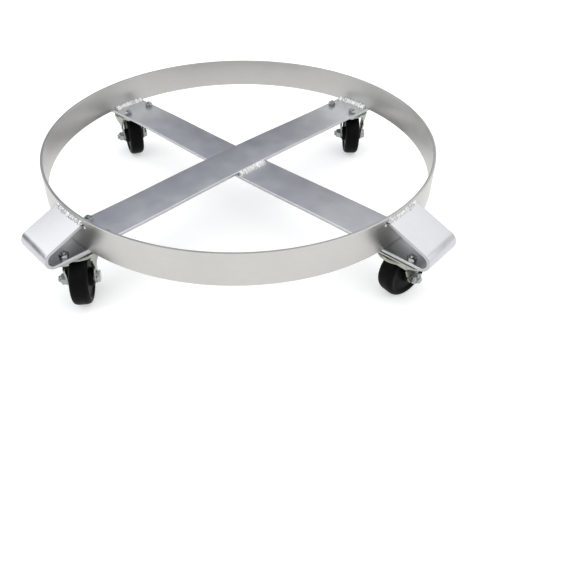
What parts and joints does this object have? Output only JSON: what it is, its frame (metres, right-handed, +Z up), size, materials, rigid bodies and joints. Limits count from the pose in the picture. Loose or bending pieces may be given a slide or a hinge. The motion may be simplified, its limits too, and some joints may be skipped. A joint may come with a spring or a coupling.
{
  "type": "drum dolly",
  "caption": "Wheeled drum dolly: rolled steel hoop on crossed flat bars whose front ends fold into loops, carried by swivel casters.",
  "frame": {"origin": "on the floor under the wheels, on the hoop's axis", "axes": "+Z up along the hoop's axis, the folded loops towards -Y, +X to the right seen from the loops"},
  "size_m": [0.61, 0.61, 0.145],
  "materials": {
    "hoop_zinc": "satin zinc plate over rolled flat bar",
    "bar_zinc": "satin bluish zinc plate over hot rolled flat bar",
    "weld_zinc": "rippled weld metal under bright zinc plate",
    "fastener_zinc": "blue bright zinc plate",
    "caster_zinc": "pressed sheet with a slightly yellow zinc plate",
    "bearing_steel": "oiled bearing steel",
    "black_rubber": "satin black moulded hard rubber"
  },
  "bodies": {
    "frame": {"hoop": "hoop_zinc", "upper_cross_bar": "bar_zinc", "lower_cross_bar": "bar_zinc", "crossing_weld": "weld_zinc", "back_left_bar_weld": "weld_zinc", "back_right_bar_weld": "weld_zinc", "front_left_loop_weld": "weld_zinc", "front_right_loop_weld": "weld_zinc", "front_left_plate": "caster_zinc", "front_left_ball_ring": "bearing_steel", "front_left_kingpin": "bearing_steel", "front_left_retainer": "bearing_steel", "front_left_bolt_1": "fastener_zinc", "front_left_bolt_2": "fastener_zinc", "front_left_bolt_3": "fastener_zinc", "front_left_bolt_4": "fastener_zinc", "front_right_plate": "caster_zinc", "front_right_ball_ring": "bearing_steel", "front_right_kingpin": "bearing_steel", "front_right_retainer": "bearing_steel", "front_right_bolt_1": "fastener_zinc", "front_right_bolt_2": "fastener_zinc", "front_right_bolt_3": "fastener_zinc", "front_right_bolt_4": "fastener_zinc", "back_left_plate": "caster_zinc", "back_left_ball_ring": "bearing_steel", "back_left_kingpin": "bearing_steel", "back_left_retainer": "bearing_steel", "back_left_bolt_1": "fastener_zinc", "back_left_bolt_2": "fastener_zinc", "back_left_bolt_3": "fastener_zinc", "back_left_bolt_4": "fastener_zinc", "back_right_plate": "caster_zinc", "back_right_ball_ring": "bearing_steel", "back_right_kingpin": "bearing_steel", "back_right_retainer": "bearing_steel", "back_right_bolt_1": "fastener_zinc", "back_right_bolt_2": "fastener_zinc", "back_right_bolt_3": "fastener_zinc", "back_right_bolt_4": "fastener_zinc"},
    "front_left_swivel": {"front_left_fork": "caster_zinc", "front_left_axle_bolt": "fastener_zinc", "front_left_axle_nut": "fastener_zinc", "front_left_bushing": "bearing_steel"},
    "front_left_wheel": {"front_left_wheel": "black_rubber"},
    "front_right_swivel": {"front_right_fork": "caster_zinc", "front_right_axle_bolt": "fastener_zinc", "front_right_axle_nut": "fastener_zinc", "front_right_bushing": "bearing_steel"},
    "front_right_wheel": {"front_right_wheel": "black_rubber"},
    "back_left_swivel": {"back_left_fork": "caster_zinc", "back_left_axle_bolt": "fastener_zinc", "back_left_axle_nut": "fastener_zinc", "back_left_bushing": "bearing_steel"},
    "back_left_wheel": {"back_left_wheel": "black_rubber"},
    "back_right_swivel": {"back_right_fork": "caster_zinc", "back_right_axle_bolt": "fastener_zinc", "back_right_axle_nut": "fastener_zinc", "back_right_bushing": "bearing_steel"},
    "back_right_wheel": {"back_right_wheel": "black_rubber"}
  },
  "joints": [
    {"name": "front_left_swivel_turn", "type": "hinge", "parent": "frame", "child": "front_left_swivel", "pos_m": [-0.21544, -0.20877, 0.0832], "axis": [0, 0, 1], "continuous": true},
    {"name": "front_left_wheel_spin", "type": "hinge", "parent": "front_left_swivel", "child": "front_left_wheel", "pos_m": [-0.21355, -0.22416, 0.038], "axis": [0.9925, 0.1219, 0], "continuous": true},
    {"name": "front_right_swivel_turn", "type": "hinge", "parent": "frame", "child": "front_right_swivel", "pos_m": [0.21979, -0.21578, 0.0832], "axis": [0, 0, 1], "continuous": true},
    {"name": "front_right_wheel_spin", "type": "hinge", "parent": "front_right_swivel", "child": "front_right_wheel", "pos_m": [0.23233, -0.20667, 0.038], "axis": [-0.5878, 0.809, 0], "continuous": true},
    {"name": "back_left_swivel_turn", "type": "hinge", "parent": "frame", "child": "back_left_swivel", "pos_m": [-0.21544, 0.20877, 0.0832], "axis": [0, 0, 1], "continuous": true},
    {"name": "back_left_wheel_spin", "type": "hinge", "parent": "back_left_swivel", "child": "back_left_wheel", "pos_m": [-0.20988, 0.1943, 0.038], "axis": [0.9336, 0.3584, 0], "continuous": true},
    {"name": "back_right_swivel_turn", "type": "hinge", "parent": "frame", "child": "back_right_swivel", "pos_m": [0.21544, 0.20877, 0.0832], "axis": [0, 0, 1], "continuous": true},
    {"name": "back_right_wheel_spin", "type": "hinge", "parent": "back_right_swivel", "child": "back_right_wheel", "pos_m": [0.21479, 0.19329, 0.038], "axis": [0.9991, -0.0419, 0], "continuous": true}
  ]
}
